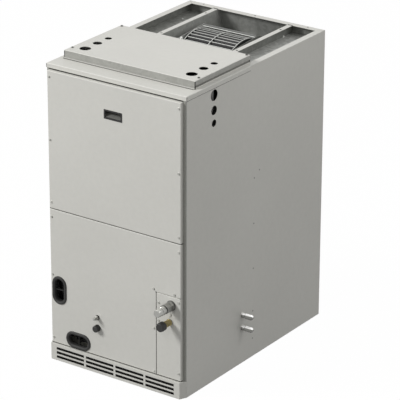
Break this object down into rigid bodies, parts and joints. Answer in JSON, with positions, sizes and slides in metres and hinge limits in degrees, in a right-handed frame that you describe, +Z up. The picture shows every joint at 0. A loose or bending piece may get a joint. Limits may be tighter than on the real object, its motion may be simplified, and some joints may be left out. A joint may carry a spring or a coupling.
{
  "type": "air handler",
  "caption": "Upright sheet-metal air handler cabinet with front access panels, slotted base grille, raised top cover, refrigerant fittings and an open-top centrifugal blower.",
  "frame": {"origin": "on the floor under the middle of the cabinet", "axes": "+Z up, the access panels face -Y, +X is the right-hand side"},
  "size_m": [0.5492, 0.825, 0.9886],
  "materials": {
    "cabinet_paint": "satin",
    "galvanised_steel": "satin",
    "screw_steel": "satin",
    "black_plastic": "matte",
    "pan_plastic": "matte",
    "pale_plastic": "matte",
    "bright_metal": "polished",
    "brass": "satin",
    "copper": "satin",
    "rubber": "matte",
    "fin_aluminium": "satin",
    "motor_shell": "satin",
    "board_green": "satin",
    "transformer_core": "satin",
    "glass_wool": "matte",
    "filter_paper": "matte"
  },
  "bodies": {
    "cabinet": {"air_filter": "filter_paper", "base_pan": "galvanised_steel", "bay_front_wall": "galvanised_steel", "blower_hangers": "galvanised_steel", "blower_left_plate": "galvanised_steel", "blower_motor": "motor_shell", "blower_right_plate": "galvanised_steel", "cabinet_screws": "screw_steel", "coil_end_plates": "galvanised_steel", "coil_slabs": "fin_aluminium", "control_board": "board_green", "control_box": "galvanised_steel", "control_panel": "galvanised_steel", "cross_rails": "galvanised_steel", "drain_pan": "pan_plastic", "drain_ports": "pan_plastic", "expansion_valve": "brass", "inlet_rings": "galvanised_steel", "insulation_liners": "glass_wool", "kick_grille": "cabinet_paint", "left_side_panel": "cabinet_paint", "line_grommets": "rubber", "line_plate": "cabinet_paint", "line_plug": "pale_plastic", "liquid_fitting": "brass", "liquid_line": "copper", "motor_bracket": "galvanised_steel", "outlet_deck": "galvanised_steel", "port_stubs": "bright_metal", "rear_panel": "cabinet_paint", "return_bends": "copper", "right_side_panel": "cabinet_paint", "scroll_wrap": "galvanised_steel", "side_drain_pan": "pan_plastic", "side_shelves": "galvanised_steel", "suction_fitting": "bright_metal", "suction_line": "copper", "supply_rails": "galvanised_steel", "support_rails": "galvanised_steel", "tap_stub": "bright_metal", "test_stub": "bright_metal", "top_cap": "cabinet_paint", "transformer": "transformer_core"},
    "blower_wheel": {"wheel_disc": "galvanised_steel", "wheel_rings": "galvanised_steel", "wheel_blades": "galvanised_steel", "blower_shaft": "screw_steel"},
    "upper_panel": {"upper_access_panel": "cabinet_paint", "handle_cup": "black_plastic", "upper_panel_screws": "screw_steel"},
    "lower_panel": {"lower_access_panel": "cabinet_paint", "lower_panel_screws": "screw_steel", "front_drain_bezel": "black_plastic", "side_drain_bezel": "black_plastic"},
    "cover": {"top_cover": "cabinet_paint", "cover_screws": "screw_steel"},
    "liquid_line_cap": {"liquid_cap": "black_plastic"},
    "tap_stub_cap": {"tap_cap": "black_plastic"},
    "upper_side_cap": {"upper_port_cap": "pale_plastic"},
    "lower_side_cap": {"lower_port_cap": "pale_plastic"}
  },
  "joints": [
    {"name": "wheel_spin", "type": "hinge", "parent": "cabinet", "child": "blower_wheel", "pos_m": [0, 0.1685, 0.812], "axis": [1, 0, 0], "continuous": true},
    {"name": "upper_panel_pull", "type": "slide", "parent": "cabinet", "child": "upper_panel", "axis": [0, -1, 0], "range_m": [0, 0.12]},
    {"name": "lower_panel_pull", "type": "slide", "parent": "cabinet", "child": "lower_panel", "axis": [0, -1, 0], "range_m": [0, 0.12]},
    {"name": "cover_lift", "type": "slide", "parent": "cabinet", "child": "cover", "axis": [0, 0, 1], "range_m": [0, 0.1]},
    {"name": "liquid_cap_pull", "type": "slide", "parent": "cabinet", "child": "liquid_line_cap", "axis": [0, -1, 0], "range_m": [0, 0.04]},
    {"name": "tap_cap_pull", "type": "slide", "parent": "cabinet", "child": "tap_stub_cap", "axis": [0, -1, 0], "range_m": [0, 0.04]},
    {"name": "upper_side_cap_pull", "type": "slide", "parent": "cabinet", "child": "upper_side_cap", "axis": [1, 0, 0], "range_m": [0, 0.04]},
    {"name": "lower_side_cap_pull", "type": "slide", "parent": "cabinet", "child": "lower_side_cap", "axis": [1, 0, 0], "range_m": [0, 0.04]}
  ]
}
